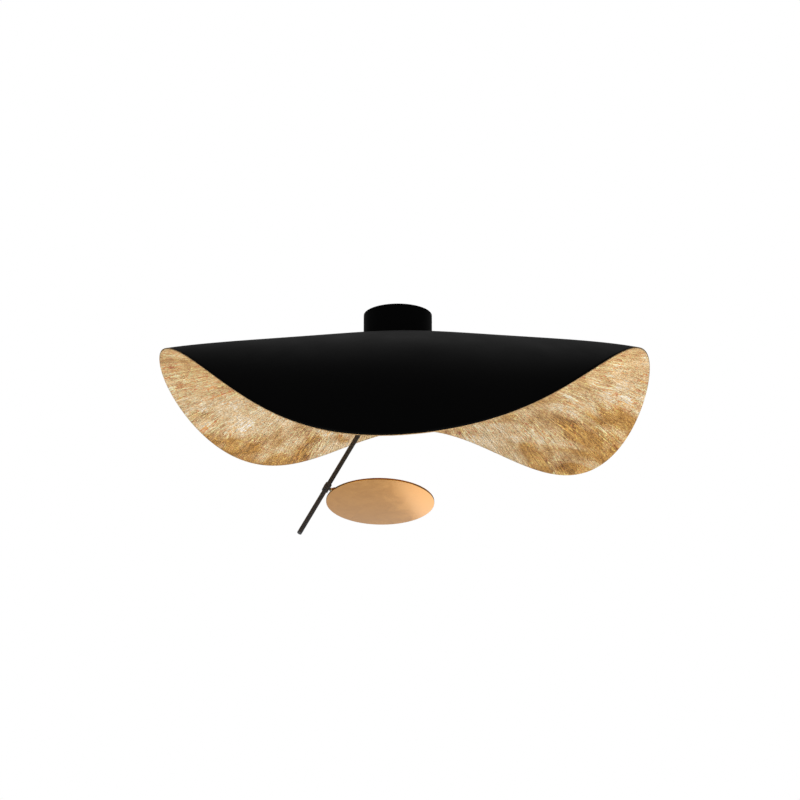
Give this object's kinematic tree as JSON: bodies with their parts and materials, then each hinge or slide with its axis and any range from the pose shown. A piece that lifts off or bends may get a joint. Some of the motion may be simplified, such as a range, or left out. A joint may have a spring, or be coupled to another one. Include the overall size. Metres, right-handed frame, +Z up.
{
  "type": "ceiling light",
  "caption": "Ceiling light: a bent round sheet, black outside and gold leaf inside, hangs from a small canopy, with a lit gold disc on a tilting rod below.",
  "frame": {"origin": "centre of the canopy's ceiling face, on the ceiling", "axes": "+Z up to the ceiling, -Y towards the front of the picture, +X to its right"},
  "size_m": [0.596, 0.548, 0.303],
  "materials": {
    "leafed_sheet": "thin aluminium sheet, satin black lacquer outside, crinkled gold leaf inside",
    "gold_disc": "satin gold, finely turned",
    "black_satin": "satin black lacquer",
    "black_screw": "blackened steel",
    "zinc_steel": "zinc-plated, dull",
    "bare_brass": "bare, satin",
    "bare_aluminium": "bare, matt",
    "black_rubber": "matt",
    "white_case": "moulded, fine texture",
    "natural_plastic": "natural nylon",
    "frosted_lens": "opal, satin",
    "light_source": "clear silicone over phosphor"
  },
  "bodies": {
    "fixture": {"ceiling_bracket": "zinc_steel", "canopy_cup": "black_satin", "canopy_grub_screws": "black_screw", "cable_grommet": "black_rubber", "led_driver": "white_case", "driver_screws": "zinc_steel", "terminal_block": "natural_plastic", "terminal_screws": "bare_brass", "earth_lug": "bare_brass", "earth_screw": "zinc_steel", "hollow_bolt": "black_screw", "lock_nut": "zinc_steel", "lock_washer": "zinc_steel", "clamp_washer": "black_satin", "shade_sheet": "leafed_sheet", "friction_washer": "natural_plastic"},
    "swivel_head": {"swivel_fork": "black_satin", "swivel_clip": "zinc_steel", "tilt_screw": "black_screw", "tilt_nut": "black_screw"},
    "rod": {"rod_eye": "black_satin", "rod_tube": "black_satin", "rod_insulator": "natural_plastic", "rod_core": "bare_brass", "rod_plug": "black_satin"},
    "slider": {"slider_bush": "black_satin", "slider_cap": "black_satin", "slider_grub": "black_screw", "contact_finger": "bare_brass"},
    "carrier": {"carrier_ring": "black_satin"},
    "disc": {"hinge_pin": "bare_brass", "disc_clip": "bare_brass", "disc_rivets": "bare_brass", "disc_plate": "gold_disc", "led_board": "bare_aluminium", "led_chip": "light_source", "lens_dome": "frosted_lens", "lens_bezel": "gold_disc", "bezel_screws": "bare_brass"}
  },
  "joints": [
    {"name": "stem_swivel", "type": "hinge", "parent": "fixture", "child": "swivel_head", "pos_m": [0, 0, -0.062], "axis": [0, 0, 1], "range_deg": [-170, 170]},
    {"name": "rod_tilt", "type": "hinge", "parent": "swivel_head", "child": "rod", "pos_m": [0, 0, -0.07], "axis": [0.6691, -0.7431, 0], "range_deg": [-10, 33]},
    {"name": "slider_travel", "type": "slide", "parent": "rod", "child": "slider", "axis": [-0.4047, -0.3644, -0.8387], "range_m": [-0.06, 0.05]},
    {"name": "carrier_turn", "type": "hinge", "parent": "slider", "child": "carrier", "pos_m": [-0.08176, -0.07362, -0.23941], "axis": [0.4047, 0.3644, 0.8387], "range_deg": [-60, 60]},
    {"name": "disc_tilt", "type": "hinge", "parent": "carrier", "child": "disc", "pos_m": [-0.07736, -0.07158, -0.24242], "axis": [-0.4918, 0.86, -0.1364], "range_deg": [-30, 30]}
  ]
}
